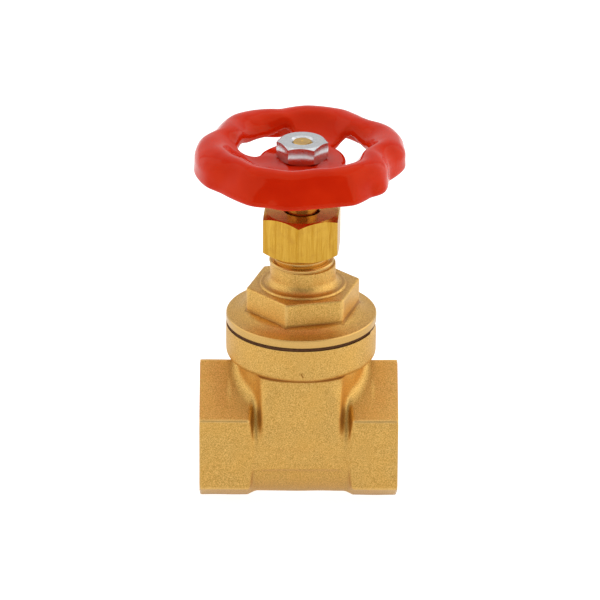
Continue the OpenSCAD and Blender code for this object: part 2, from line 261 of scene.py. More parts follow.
def thread_form(root, crest):
    """Section of one pitch: crest in the middle, root at the ends."""
    return [(0.0, root), (0.11, root), (0.43, crest), (0.57, crest), (0.89, root)]


def sharpen(obj, degrees):
    """Smooth shading with hard edges where faces meet at more than degrees."""
    mesh = obj.data
    mesh.polygons.foreach_set("use_smooth", np.ones(len(mesh.polygons), bool))
    edit = bmesh.new()
    edit.from_mesh(mesh)
    limit = math.radians(degrees)
    for edge in edit.edges:
        if len(edge.link_faces) == 2:
            edge.smooth = edge.calc_face_angle(0.0) < limit
    edit.to_mesh(mesh)
    edit.free()
    return obj


def finish(obj, name, body, material, node):
    """Scales to metres, names, paints and hangs the piece on its body."""
    obj.data.transform(Matrix.Scale(0.001, 4))
    obj.name = name
    obj.data.name = name
    obj.data.materials.clear()
    obj.data.materials.append(material)
    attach(obj, body)
    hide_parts(node)


# ---------------------------------------------------------------- distance fields
# A field gives the signed distance to a shape, negative inside it.
def melt(a, b, width):
    """Union with a soft fillet."""
    share = np.clip(0.5 + 0.5 * (b - a) / width, 0, 1)
    return b * (1 - share) + a * share - width * share * (1 - share)


def rounded(a, b, radius):
    """Intersection with a true round."""
    return (np.minimum(np.maximum(a, b), -radius)
            + np.hypot(np.maximum(a + radius, 0), np.maximum(b + radius, 0)))


def ease(x, start, end):
    share = np.clip((x - start) / (end - start), 0, 1)
    return share * share * (3 - 2 * share)


def hexagon(across, along, flats, radius):
    """Hexagonal bar with rounded corners; two of them lie on the along axis."""
    one = 0.5 * across + 0.8660254 * np.abs(along)
    two = -0.5 * across + 0.8660254 * np.abs(along)
    pair = rounded(one - flats / 2, two - flats / 2, radius)
    return rounded(pair, np.abs(across) - flats / 2, radius)


def polygon(x, y, outline):
    """Distance to a closed polygon in a plane."""
    corners = np.asarray(outline, float)
    nearest = np.full(x.shape, 1e18)
    sign = np.ones(x.shape)
    for i in range(len(corners)):
        here, last = corners[i], corners[i - 1]
        edge_x, edge_y = last - here
        to_x, to_y = x - here[0], y - here[1]
        share = (to_x * edge_x + to_y * edge_y) / (edge_x * edge_x + edge_y * edge_y)
        share = np.clip(share, 0, 1)
        gap_x, gap_y = to_x - edge_x * share, to_y - edge_y * share
        nearest = np.minimum(nearest, gap_x * gap_x + gap_y * gap_y)
        above, below = y >= here[1], y < last[1]
        beside = edge_x * to_y > edge_y * to_x
        sign = np.where((above & below & beside) | (~above & ~below & ~beside), -sign, sign)
    return sign * np.sqrt(nearest)


def wobble(x, y, z, seed, wave, size):
    """Smooth, seeded unevenness: a sum of seven plane waves."""
    count = 7
    random = np.random.RandomState(seed)
    total = 0
    for _ in range(count):
        way = random.normal(size=3)
        way /= np.linalg.norm(way)
        rate = 2 * PI / (wave * (0.7 + 0.6 * random.rand()))
        phase = random.rand() * 2 * PI
        total = total + np.sin(rate * (way[0] * x + way[1] * y + way[2] * z) + phase)
    return total * (size / math.sqrt(count / 2))


def gradient(field, points, reach):
    x, y, z = points.T
    return np.stack([field(x + reach, y, z) - field(x - reach, y, z),
                     field(x, y + reach, z) - field(x, y - reach, z),
                     field(x, y, z + reach) - field(x, y, z - reach)], 1) / (2 * reach)


def nets(field, low, high, step):
    """Closed quad mesh of field = 0 by surface nets, pulled on by Newton steps."""
    low = np.asarray(low, float) + step * 0.137     # keeps grid planes off flat faces
    size = [math.ceil((high[i] - low[i]) / step) + 1 for i in range(3)]
    axes = [low[i] + step * np.arange(size[i]) for i in range(3)]
    values = np.empty(size, np.float32)
    for i in range(0, size[0], 16):                 # in slabs, to stay small in memory
        values[i:i + 16] = field(*np.meshgrid(axes[0][i:i + 16], *axes[1:], indexing="ij"))
    inside = values < 0
    corners = list(np.ndindex(2, 2, 2))
    filled = sum(inside[i:size[0] - 1 + i, j:size[1] - 1 + j, k:size[2] - 1 + k].astype(np.int8)
                 for i, j, k in corners)
    active = (filled > 0) & (filled < 8)
    cells = np.argwhere(active)
    index = -np.ones(active.shape, np.int64)
    index[active] = np.arange(len(cells))

    # one vertex in each active cell, at the mean of its edge crossings
    points = np.zeros((len(cells), 3))
    crossings = np.zeros(len(cells))
    for one, two in combinations(np.array(corners), 2):
        if np.abs(one - two).sum() != 1:
            continue
        at_one, at_two = values[tuple((cells + one).T)], values[tuple((cells + two).T)]
        crossed = (at_one < 0) != (at_two < 0)
        share = np.where(crossed, at_one / np.where(crossed, at_one - at_two, 1), 0)
        points += crossed[:, None] * (one + (two - one) * share[:, None])
        crossings += crossed
    points = (cells + points / crossings[:, None]) * step + low

    # one quad around each grid edge that crosses the surface
    quads = []
    for axis in range(3):
        one, two = [i for i in range(3) if i != axis]
        edges = np.argwhere(np.diff(inside, axis=axis))
        edges = edges[(edges[:, one] > 0) & (edges[:, two] > 0)
                      & (edges[:, one] < size[one] - 1) & (edges[:, two] < size[two] - 1)]
        starts_inside = inside[tuple(edges.T)]
        back_one, back_two = np.eye(3, dtype=int)[[one, two]]
        around = (edges - back_one - back_two, edges - back_two, edges, edges - back_one)
        ring = np.stack([index[tuple(cell.T)] for cell in around], 1)
        flip = starts_inside if axis == 1 else ~starts_inside
        ring[flip] = ring[flip][:, ::-1]
        quads.append(ring)

    for _ in range(3):
        value = field(*points.T)
        slope = gradient(field, points, step * 0.2)
        move = value[:, None] * slope / np.maximum((slope * slope).sum(1), 0.25)[:, None]
        length = np.linalg.norm(move, axis=1)
        move *= np.minimum(1, 0.45 * step / np.maximum(length, 1e-9))[:, None]
        points = points - move
    return solid(points, np.concatenate(quads))


# ---------------------------------------------------------------- shader tools
def calc(operation, a, b=0.0):
    """One Math node; at least one of a and b is a Signal."""
    tree = (a if isinstance(a, Signal) else b).tree
    return tree.node("Math", {0: a, 1: b, 2: 0.0}, operation=operation)


def maximum(a, b):
    return calc("MAXIMUM", a, b)


def hyp(a, b):
    return calc("SQRT", a * a + b * b)


def combine(x, y, z):
    return x.tree.node("CombineXYZ", {0: x, 1: y, 2: z})


def streaks(x, y, z, across, along):
    """Texture space for grain along or across Z, by the two scales."""
    return combine(x * across, y * across, z * along)


def rings(x, y, z, across, along):
    """Texture space for tool rings around the z given."""
    return combine(hyp(x, y) * across, 0.0, z * along)


class Signal:
    """A shader output that sums can be written with: each operation is one node."""

    def __init__(self, tree, socket):
        self.tree = tree
        self.socket = socket

    def __add__(self, other):
        return calc("ADD", self, other)

    def __sub__(self, other):
        return calc("SUBTRACT", self, other)

    def __rsub__(self, other):
        return calc("SUBTRACT", other, self)

    def __mul__(self, other):
        return calc("MULTIPLY", self, other)

    def __truediv__(self, other):
        return calc("DIVIDE", self, other)

    def __lt__(self, other):
        return calc("LESS_THAN", self, other)

    def __gt__(self, other):
        return calc("GREATER_THAN", self, other)

    def __abs__(self):
        return calc("ABSOLUTE", self)

    def vector(self, operation, other):
        return self.tree.node("VectorMath", {0: self, 1: other}, operation=operation)

    def shifted(self, *offset):
        return self.vector("ADD", offset)

    def split(self):
        outputs = self.tree.node("SeparateXYZ", {0: self}).socket.node.outputs
        return [Signal(self.tree, socket) for socket in outputs]

    def ramp(self, start, end, to=(0.0, 1.0), kind="LINEAR"):
        """Goes from to[0] at start to to[1] at end, and stays level outside."""
        return self.tree.node("MapRange", {0: self, 1: start, 2: end, 3: to[0], 4: to[1]},
                              interpolation_type=kind, clamp=True)

    def fade(self, start, end, kind="LINEAR"):
        """1 up to start, falling to 0 at end."""
        return self.ramp(start, end, (1.0, 0.0), kind)

    def near(self, centre, full, none, kind="LINEAR"):
        """1 within full of centre, 0 beyond none."""
        return abs(self - centre).fade(full, none, kind)

    def mix(self, low, high):
        """Colour between low and high, by this signal."""
        low, high = [(*c, 1.0) if isinstance(c, tuple) else c for c in (low, high)]
        return self.tree.node("Mix", {0: self, 6: low, 7: high}, 2,
                              data_type="RGBA", clamp_factor=True)

    def mix_value(self, low, high):
        return self.tree.node("Mix", {0: self, 2: low, 3: high},
                              data_type="FLOAT", clamp_factor=True)

    def mix_vector(self, low, high):
        return self.tree.node("Mix", {0: self, 4: low, 5: high}, 1,
                              data_type="VECTOR", clamp_factor=True)

    def noise(self, scale=1.0, detail=2.0, rough=0.5):
        return self.tree.node("TexNoise", {"Vector": self, "Scale": scale, "Detail": detail,
                                           "Roughness": rough})

    def bump(self, depth):
        """Normal from this height; depth in mm."""
        return self.tree.node("Bump", {"Height": self, "Distance": depth * 0.001,
                                       "Strength": 1.0})


class Tree:
    """A node tree that is built up from nothing."""

    def __init__(self, owner):
        owner.use_nodes = True
        self.nodes, self.links = owner.node_tree.nodes, owner.node_tree.links
        self.nodes.clear()

    def node(self, kind, inputs=None, out=0, **props):
        """Adds a node and gives one of its outputs, if it has any."""
        node = self.nodes.new("ShaderNode" + kind)
        for key, value in props.items():
            setattr(node, key, value)
        for key, value in (inputs or {}).items():
            if isinstance(value, Signal):
                self.links.new(value.socket, node.inputs[key])
            else:
                node.inputs[key].default_value = value
        return Signal(self, node.outputs[out]) if len(node.outputs) else None

    def place(self):
        """Object coordinates in millimetres."""
        metres = self.node("TexCoord", out="Object")
        return metres.vector("MULTIPLY", (1000.0, 1000.0, 1000.0))

    def occlusion(self, metres):
        return self.node("AmbientOcclusion", {"Distance": metres}, 1, samples=4)

    def level(self, name, value):
        """A brightness, as a named Value node."""
        signal = self.node("Value")
        signal.socket.node.name = name
        signal.socket.default_value = value
        return signal

    def principled(self, inputs):
        self.node("OutputMaterial", {0: self.node("BsdfPrincipled", inputs)})


def new_material(name):
    material = bpy.data.materials.new(name)
    return material, Tree(material)


def srgb(*channels):
    """Linear colour from 0 to 255 channels."""
    return tuple(((c / 255 + 0.055) / 1.055) ** 2.4 for c in channels)


def lift(colour, gain):
    return tuple(c * g for c, g in zip(colour, gain))


# ---------------------------------------------------------------- colours, linear
FORGED_GAIN, BAR_GAIN = (1.21, 1.25, 1.17), (0.84, 0.84, 0.78)
FORGED_DARK = lift(srgb(176, 132, 66), FORGED_GAIN)
FORGED_LIGHT = lift(srgb(226, 182, 108), FORGED_GAIN)
FORGED_WARM = lift(srgb(214, 160, 78), FORGED_GAIN)
FORGED_TARNISH = lift(srgb(170, 120, 62), FORGED_GAIN)
# painted shade for hollows
FORGED_OCCLUSION_SHADE = lift(srgb(120, 74, 28), FORGED_GAIN)
# painted highlight for glints
FORGED_GLINT = lift(srgb(236, 200, 135), (1.1, 1.15, 1.1))
# painted shade for creases and the pit, then rubbed edges with a painted highlight
FORGED_SHADE_AND_PIT, WEAR_AND_HIGHLIGHT = srgb(144, 84, 26), (1.0, 0.67, 0.25)
CUT_DARK, CUT_LIGHT = srgb(206, 160, 86), srgb(234, 192, 118)
TURNED_DARK, TURNED_LIGHT = srgb(196, 150, 72), srgb(230, 190, 110)
BAR_DARK, BAR_LIGHT = lift(srgb(208, 152, 46), BAR_GAIN), lift(srgb(240, 190, 84), BAR_GAIN)
BRASS_TARNISH, BRASS_SPOT = lift(srgb(190, 130, 58), BAR_GAIN), (0.35, 0.17, 0.03)
RED_DARK, RED_LIGHT = (0.64, 0.0150, 0.0010), (0.70, 0.0215, 0.0020)
# painted shade for corners, then specks
RED_CORNER_SHADE, RED_SPECK = (0.26, 0.0040, 0.0005), (0.30, 0.01, 0.005)
RED_GLOSS = (1.0, 0.76, 0.36, 1.0)
ZINC_DARK, ZINC_LIGHT, ZINC_WORN = (0.62, 0.63, 0.65), (0.71, 0.72, 0.74), (0.52, 0.49, 0.42)
STEEL_DARK, STEEL_LIGHT = (0.30, 0.30, 0.31), (0.46, 0.46, 0.47)
FIBRE_DARK, FIBRE_LIGHT, FIBRE_FLECK = srgb(72, 45, 27), srgb(106, 72, 44), srgb(120, 92, 70)
YARN_DARK, YARN_LIGHT, YARN_FLECK = (0.012, 0.012, 0.013), (0.055, 0.055, 0.058), (0.12,) * 3


# ---------------------------------------------------------------- materials
def forged_brass(name, machined, shade_and_pits, worn):
    """Sand-blasted forging. The other arguments are functions that give 0 to 1 masks:

    faces a tool has cut since, painted shade in creases (and a pit on the body), edges rubbed
    bright with a painted highlight.
    """
    material, tree = new_material(name)
    place = tree.place()
    spot = (place, *place.split())
    x, y, z = spot[1:]
    grain = place.noise(scale=3.6, rough=0.6)
    fine = place.noise(scale=8.5, rough=0.6)
    pits = tree.node("TexVoronoi", {"Vector": place, "Scale": 4.2}, "Distance", feature="F1")
    cloud = place.noise(scale=0.16, detail=3.0, rough=0.55)
    patch = place.shifted(31.0, 7.0, 3.0).noise(scale=0.7, detail=4.0, rough=0.65)
    glint = fine.ramp(0.64, 0.76)

    colour = grain.ramp(0.35, 0.65).mix(FORGED_DARK, FORGED_LIGHT)
    colour = (cloud.ramp(0.35, 0.7) * 0.30).mix(colour, FORGED_WARM)
    colour = (patch.ramp(0.58, 0.75) * 0.25).mix(colour, FORGED_TARNISH)
    # painted glints: lighter colour on bright specks
    colour = (glint * 0.35).mix(colour, FORGED_GLINT)
    # painted shade: darker in hollows, where ambient occlusion is high
    colour = (tree.occlusion(0.0018).fade(0.35, 0.92) * 0.30).mix(colour, FORGED_OCCLUSION_SHADE)
    # painted shade in creases and under the flange, and the flange's pit
    colour = shade_and_pits(*spot).mix(colour, FORGED_SHADE_AND_PIT)
    # edges rubbed bright, lighter as a painted highlight
    colour = (worn(*spot) * patch.ramp(0.3, 0.6, to=(0.55, 0.9))).mix(colour, WEAR_AND_HIGHLIGHT)
    rough = glint.mix_value(grain.ramp(0.3, 0.7, to=(0.47, 0.39)), 0.3)
    normal = (grain * 0.55 + (fine * 0.25 + pits * 0.18)).bump(0.075)

    # cut faces: bright, with fine tool rings about X and about Z
    mask = machined(*spot)
    about_x = rings(y, z, x, 5.5, 5.5).noise(rough=0.6)
    about_z = rings(x, y, z, 5.5, 5.5).noise(rough=0.6)
    tool = (about_x + about_z) * 0.5
    cut_colour = tool.ramp(0.35, 0.65).mix(CUT_DARK, CUT_LIGHT)
    # the same painted shade in creases on the cut faces
    cut_colour = (shade_and_pits(*spot) * 0.8).mix(cut_colour, FORGED_SHADE_AND_PIT)
    tree.principled({
        "Base Color": mask.mix(colour, cut_colour), "Metallic": 1.0,
        "Roughness": mask.mix_value(rough, tool.ramp(0.3, 0.7, to=(0.32, 0.22))),
        "Normal": mask.mix_vector(normal, tool.bump(0.010))})
    return material


def bright_brass(name, drawn):
    """Machined brass: drawn bar (streaks along Z) or turned (rings about Z)."""
    material, tree = new_material(name)
    place = tree.place()
    axes = place.split()
    if drawn:
        broad, fine = streaks(*axes, 1.0, 0.05), streaks(*axes, 4.5, 0.25)
        dark, light, depth, stretch = BAR_DARK, BAR_LIGHT, 0.002, 0.35
    else:
        broad, fine = rings(*axes, 3.0, 5.0), rings(*axes, 9.0, 15.0)
        dark, light, depth, stretch = TURNED_DARK, TURNED_LIGHT, 0.012, 0.2
    marks = broad.noise(detail=3.0, rough=0.6) * 0.65 + fine.noise() * 0.35
    cloud = place.noise(scale=0.35, detail=3.0, rough=0.6)
    spots = place.shifted(5.0, 9.0, 1.0).noise(scale=1.6, rough=0.6).ramp(0.68, 0.76)
    colour = marks.ramp(0.34, 0.66).mix(dark, light)
    colour = (cloud.ramp(0.5, 0.72) * 0.30).mix(colour, BRASS_TARNISH)
    colour = (spots * 0.35).mix(colour, BRASS_SPOT)
    tree.principled({
        "Base Color": colour, "Metallic": 1.0, "Anisotropic": stretch,
        "Roughness": marks.ramp(0.3, 0.7, to=(0.30, 0.20)), "Normal": marks.bump(depth)})
    return material


def red_coat():
    """Thick dipped plastic: glossy and faintly uneven, with painted shade (deeper red) in
    corners.
    """
    material, tree = new_material("red_coating")
    place = tree.place()
    peel = place.noise(scale=0.30)
    tiny = place.noise(scale=1.5)
    cloud = place.noise(scale=0.12)
    specks = place.noise(scale=3.5, detail=1.0).ramp(0.74, 0.78)
    # painted shade: deeper red where ambient occlusion finds corners
    corners = tree.occlusion(0.004).ramp(0.3, 0.95, to=(0.5, 0.0))
    colour = cloud.ramp(0.35, 0.65).mix(RED_DARK, RED_LIGHT)
    colour = corners.mix(colour, RED_CORNER_SHADE)
    colour = (specks * 0.4).mix(colour, RED_SPECK)
    tree.principled({
        "Base Color": colour, "Roughness": tiny.ramp(0.3, 0.7, to=(0.06, 0.10)),
        "IOR": 1.45, "Specular IOR Level": 0.24, "Specular Tint": RED_GLOSS,
        "Normal": (peel * 0.9 + tiny * 0.05).bump(0.09)})
    return material


def zinc():
    """Bright plating with faint rings, worn in patches."""
    material, tree = new_material("zinc_plate")
    place = tree.place()
    x, y, z = place.split()
    mottle = place.noise(scale=1.2, detail=3.0, rough=0.6)
    streak = streaks(x, y, z, 2.0, 8.0).noise()
    ring = combine(hyp(x, y) * 7.0, 0.0, 0.0).noise()
    wear = place.shifted(3.0, 2.0, 8.0).noise(scale=0.9, detail=3.0, rough=0.6)
    colour = mottle.ramp(0.35, 0.65).mix(ZINC_DARK, ZINC_LIGHT)
    colour = (wear.ramp(0.60, 0.72) * 0.5).mix(colour, ZINC_WORN)
    tree.principled({
        "Base Color": colour, "Metallic": 1.0,
        "Roughness": (mottle * 0.5 + ring * 0.5).ramp(0.35, 0.65, to=(0.26, 0.20)),
        "Normal": (streak * 0.5 + ring * 0.5).bump(0.003)})
    return material


def steel():
    """Bare pressed sheet."""
    material, tree = new_material("pressed_steel")
    place = tree.place()
    cloud = place.noise(scale=0.8, detail=4.0, rough=0.6)
    grain = place.noise(scale=5.0)
    tree.principled({
        "Base Color": cloud.ramp(0.35, 0.65).mix(STEEL_DARK, STEEL_LIGHT), "Metallic": 1.0,
        "Roughness": grain.ramp(0.3, 0.7, to=(0.35, 0.5)), "Normal": grain.bump(0.02)})
    return material


def fibre():
    """Compressed fibre sheet, seen on its cut edge."""
    material, tree = new_material("gasket_fibre")
    place = tree.place()
    layers = streaks(*place.split(), 1.2, 7.0).noise(detail=3.0, rough=0.6)
    flecks = place.noise(scale=3.0, detail=3.0, rough=0.6)
    colour = layers.ramp(0.35, 0.65).mix(FIBRE_DARK, FIBRE_LIGHT)
    tree.principled({
        "Base Color": flecks.ramp(0.62, 0.8).mix(colour, FIBRE_FLECK), "Roughness": 0.8,
        "Specular IOR Level": 0.15, "Normal": (layers + flecks).bump(0.05)})
    return material


def packing():
    """Graphited yarn packing, pressed: a diagonal braid."""
    material, tree = new_material("packing_yarn")
    place = tree.place()
    x, y, z = place.split()
    around, up = calc("ARCTAN2", y, x) * 5.5, z * 1.6
    braid = maximum(calc("SINE", (around + up) * 2.2), calc("SINE", (around - up) * 2.2))
    flecks = place.noise(scale=4.0, detail=3.0, rough=0.6)
    colour = braid.ramp(-0.5, 1.0).mix(YARN_DARK, YARN_LIGHT)
    tree.principled({
        "Base Color": flecks.ramp(0.6, 0.8).mix(colour, YARN_FLECK), "Roughness": 0.55,
        "Normal": (braid * 0.5 + flecks).bump(0.08)})
    return material


# ---------------------------------------------------------------- masks, 0 to 1
# Each takes the place in mm, as a vector and as x, y and z.
SMOOTH = "SMOOTHSTEP"


def cut_body(place, x, y, z):
    pipe_r = hyp(y, z)
    ends = maximum(x.ramp(X_RIGHT - 0.45, X_RIGHT - 0.30),
                   (x * -1.0).ramp(X_LEFT - 0.45, X_LEFT - 0.30))
    ports = (pipe_r < 17.0) * (abs(x) > 12.9)
    top = z.ramp(FLANGE_TOP - 0.12, FLANGE_TOP - 0.05)
    mouth = (hyp(x, y) < 18.2) * (z > 26.0)
    return maximum(maximum(ends, ports), maximum(top, mouth))


def shade_and_pit_body(place, x, y, z):
    """Painted shade under the flange and beside the housing, and a pit on the flange's -Y edge.
    """
    under = z.near(FLANGE_LOW - 0.3, 0.35, 0.8, SMOOTH) * hyp(x, y).ramp(20.95, 20.45)
    side = abs(abs(x) - (z * HOUSING_DRAFT + 11.45)).fade(0.2, 1.1, SMOOTH)
    side = side * (z.ramp(2.5, 8.0, kind=SMOOTH) * z.fade(22.0, 23.6))
    side = side * abs(y).ramp(19.0, 18.3)
    from_pit = place.vector("SUBTRACT", (0.0, -21.5, 26.6))
    from_pit = place.tree.node("VectorMath", {0: from_pit}, 1, operation="LENGTH")
    pit = from_pit.fade(0.3, 1.1) * place.noise(scale=1.6, rough=0.6).ramp(0.45, 0.6)
    return maximum(maximum(under * 0.85, side * 0.05), pit)


def wear_and_highlight_body(place, x, y, z):
    """Rubbed corners of the hexagonal ends, lightened as a painted highlight."""
    off_y, off_z = abs(y), abs(z)
    side = hyp(off_y - 18.75, off_z - 10.82).fade(0.25, 0.65, SMOOTH)
    top = hyp(y, off_z - 21.65).fade(0.25, 0.65, SMOOTH)
    return (maximum(side, top) * 0.62) * (abs(x) > HEX_IN)


def cut_bonnet(place, x, y, z):
    radius = hyp(x, y)
    rim = radius.ramp(21.35, 21.5) * (z < RIM_TOP + 0.05)
    neck = z.ramp(53.0, 53.05)
    return maximum(maximum(rim, neck), maximum(radius < 8.6, z < RIM_LOW + 0.02))


def shade_bonnet(place, x, y, z):
    """Painted shade on both sides of the ring, at the foot of the hexagon and at the top of the
    rough neck.
    """
    radius = hyp(x - DIE_SHIFT, y)
    trough = radius.near(11.6, 0.1, 0.55, SMOOTH) * z.near(46.8, 0.3, 0.6)
    foot = radius.near(12.75, 0.15, 0.6, SMOOTH) * z.near(46.15, 0.2, 0.45)
    top = z.near(53.2, 0.12, 0.24) * (hyp(x, y) > 8.9)
    across = x - DIE_SHIFT
    angles = [BONNET_TURN + math.radians(90 + 60 * k) for k in range(3)]
    flats = reduce(maximum, [abs(across * math.cos(a) + y * math.sin(a)) for a in angles])
    base = flats.near(BONNET_AF / 2 + 0.12, 0.12, 0.5, SMOOTH) * z.fade(39.6, 40.1)
    low = maximum(base * 0.6, top * 0.4)
    return maximum(maximum(trough * 0.30, foot * 0.15), low)


def wear_and_highlight_bonnet(place, x, y, z):
    """Rubbed corners of the hexagon and the ring above it, lightened as a painted highlight."""
    radius = hyp(x - DIE_SHIFT, y)
    corner = radius.ramp(16.3, 16.6) * z.ramp(39.5, 40.2)
    ring = radius.near(12.3, 0.1, 0.35) * z.ramp(46.6, 46.8)
    return maximum(corner * 0.35, ring * 0.15)


def cut_wedge(place, x, y, z):
    """The two sloping faces and the hole for the stem."""
    proud = abs(x) - (z * TAPER + (WEDGE_HALF - 0.12))
    return maximum(proud > 0.0, hyp(x, y) < 4.9)


def nowhere(place, x, y, z):
    return z * 0.0


# ---------------------------------------------------------------- body
def body_field(x, y, z):
    off_x, off_y = np.abs(x), np.abs(y)
    pipe_r, stem_r = np.hypot(y, z), np.hypot(x, y)
    # hexagonal ends, their inner sides a little conical, with 1 mm left for facing
    inner = (HEX_IN - off_x + (pipe_r - 19.0) * 0.35) * 0.944
    ends = rounded(hexagon(y, z, HEX_AF, 0.38), inner, 0.7)
    ends = np.maximum(ends, np.maximum(x - X_RIGHT, -x - X_LEFT) - 1.0)
    barrel = np.maximum(pipe_r - BARREL_R, off_x - 20.0)
    # housing: a flat-sided box through the barrel, drafted a little
    half_x = 11.15 + HOUSING_DRAFT * np.clip(z, 0, 30)
    half_y = HOUSING_Y - 1.3 * (1 - ease(z, -3, 6))
    housing = rounded(off_x - half_x, off_y - half_y, 1.9)
    housing = np.maximum(np.maximum(housing, z - 29.0), -4.0 - z)
    housing = rounded(housing, stem_r - (23.0 - 0.235 * np.clip(z - 10, 0, 12)), 1.0)
    # round shoulder under the flange
    shoulder = np.maximum(np.maximum(stem_r - SHOULDER_R, z - 29.0), 4.0 - z)
    flange = rounded(stem_r - FLANGE_R, FLANGE_LOW - z, FLANGE_EDGE)
    flange = np.maximum(flange, z - FLANGE_TOP - 1.2)
    shape = melt(ends, barrel, 1.3)
    shape = melt(shape, shoulder, 2.6)
    shape = melt(shape, housing, 2.7)
    shape = melt(shape, flange, 0.9)
    return shape + wobble(x, y, z, 3, 14.0, 0.035)


def wedge_space(gap, top, low=-17, half_y=17):
    """Block between the wedge's two planes, each moved out by gap."""
    rows = [(low, WEDGE_HALF + gap + low * TAPER), (top, WEDGE_HALF + gap + top * TAPER)]
    (z0, a), (z1, b) = rows
    verts = [(x, y, z) for y in (-half_y, half_y)
             for x, z in ((-a, z0), (a, z0), (b, z1), (-b, z1))]
    quads = [(0, 1, 2, 3), (7, 6, 5, 4), (0, 4, 5, 1), (1, 5, 6, 2), (2, 6, 7, 3), (3, 7, 4, 0)]
    return solid(verts, quads)


def gate_pocket():
    """The space for the gate: seats stand in on its X sides, a rib on each Y side."""
    pocket = keep(wedge_space(0.8, 26.7),
                  add(along_x(cyl(16, -14, 14, 160)), box(-14, 14, -16, 16, 0, 26.7)))
    seats = cut(along_x(cyl(DISC_R + 0.3, -12, 12, 160)), along_x(cyl(BORE_R, -13, 13, 160)))
    pocket = cut(pocket, cut(seats, wedge_space(0.03, 26.2)))
    return cut_sides(pocket, 1.5, 12.9, 17, -6, 25.9)


def port(reach):
    """Tapped hole along +Z that opens at reach: parallel thread and chamfer."""
    root = reach - PORT_DEPTH + 1.6
    hole = thread(thread_form(PORT_R, PORT_THREAD_R), PORT_PITCH, root, reach, 128)
    hole = keep(hole, cyl(18, root, reach + 1.5, 64))
    hole = add(hole, cyl(PORT_R, reach - PORT_DEPTH, reach + 1.5, 160))
    return add(hole, turned([(PORT_R - 0.01, reach - 1.7), (PORT_R + 1.7, reach),
                             (PORT_R + 3.2, reach + 1.5)], 160))


def make_body():
    body = nets(body_field, (-31.2, -23.5, -23.5), (30.2, 23.5, 36.5), 0.46)
    hollow = add(gate_pocket(), along_x(cyl(BORE_R, -20, 20, 160)))
    hollow = add(hollow, turned([(17.6, 26.2), (17.6, 33.9), (18.1, 34.4), (18.1, 40)], 160))
    for reach, sign in ((X_RIGHT, 1), (X_LEFT, -1)):
        hollow = add(hollow, along_x(port(reach), sign))
    body = cut(body, hollow)
    # faced ends, chamfered at the corners, and the sealing face
    corner = HEX_AF / math.sqrt(3)
    edge = [(corner - 0.75, 0), (corner - 0.1, 0.4), (corner + 2, 1.8), (corner + 20, 12)]
    blank = [(r, -X_LEFT + z) for r, z in edge] + [(r, X_RIGHT - z) for r, z in edge[::-1]]
    body = keep(body, along_x(turned(blank)))
    body = cut(body, box(-40, 40, -40, 40, FLANGE_TOP, 60))
    return sharpen(body, 30)


# ---------------------------------------------------------------- bonnet and gasket
# Skirt section through the axis: (radius, z)
BONNET_SKIRT = [
    (-21.4, 36.0), (21.4, 36.0), (21.4, 37.55), (20.0, 37.75), (18.6, 38.12), (17.5, 38.62),
    (16.9, 38.98), (16.0, 39.26), (14.0, 39.4), (-14.0, 39.4)]
COVE_R, COVE_AT_R, COVE_AT_Z = 2.75, 12.15, 49.3       # hollow round from ring to neck


def bonnet_field(x, y, z):
    skirt = polygon(np.hypot(x, y), z, BONNET_SKIRT)
    x = x - DIE_SHIFT
    radius = np.hypot(x, y)
    cos, sin = math.cos(BONNET_TURN), math.sin(BONNET_TURN)
    hexa = hexagon(-x * sin + y * cos, x * cos + y * sin, BONNET_AF, 0.55)
    hexa = rounded(hexa, z - BONNET_TOP, 0.6)
    hexa = np.maximum(hexa, 38.5 - z)
    ring = rounded(radius - RING_R, z - RING_TOP, 0.45)
    ring = np.maximum(ring, 40.0 - z)
    # cove up to the neck
    out, up = radius - COVE_AT_R, z - COVE_AT_Z
    cove = np.maximum(np.maximum(out, up), COVE_R - np.hypot(out, up))
    cove = np.where((radius > COVE_AT_R) & (z < COVE_AT_Z), out, cove)
    cove = np.maximum(cove, 44.0 - z)
    neck = np.maximum(np.minimum(radius - 9.42, cove), z - 52.95)
    shape = melt(skirt, hexa, 0.35)
    shape = melt(shape, ring, 0.3)
    shape = melt(shape, neck, 0.25)
    # the unevenness follows the dies' shift
    return np.maximum(shape, 36.2 - z) + wobble(x, y, z, 8, 11.0, 0.03)


def neck_thread():
    root = NECK_THREAD_R - 0.72
    core = turned([(root, 50), (root, NECK_THREAD_TOP)])
    ridge = thread(thread_form(NECK_THREAD_R - 0.7, NECK_THREAD_R), NECK_PITCH,
                   NECK_THREAD_START, NECK_THREAD_TOP)
    trim = turned([(NECK_THREAD_R + 0.3, 53.9), (NECK_THREAD_R + 0.3, NECK_THREAD_TOP - 0.9),
                   (NECK_THREAD_R - 0.75, NECK_THREAD_TOP)])
    return add(core, keep(ridge, trim))


def make_bonnet():
    bonnet = nets(bonnet_field, (-22.5, -22.5, 35.8), (22.5, 22.5, 54.5), 0.33)
    rim = turned([(16.8, 26.6), (17.5, 27.3), (17.5, RIM_LOW), (21.62, RIM_LOW),
                  (21.8, RIM_LOW + 0.18), (21.8, RIM_TOP - 0.3), (21.55, RIM_TOP)], 192)
    neck = turned([(9.12, 50), (9.12, 53.3), (NECK_R, 53.5), (NECK_R + 0.03, NECK_TOP - 0.3),
                   (NECK_R - 0.27, NECK_TOP)], 160)
    bore = turned([
        (15.3, 20), (15.3, 31), (11.6, 37.5), (8, 42), (8, 43.5), (8.4, 43.5), (8.4, 45.1),
        (7.06, 45.1), (7.06, 47.36), (4.56, 47.36), (4.56, 50), (6.6, 50),
        (6.6, NECK_THREAD_TOP - 0.5), (7.1, NECK_THREAD_TOP), (7.1, NECK_THREAD_TOP + 1)])
    bonnet = add(add(bonnet, rim), neck)
    bonnet = add(bonnet, neck_thread())
    return sharpen(cut(bonnet, bore), 30)


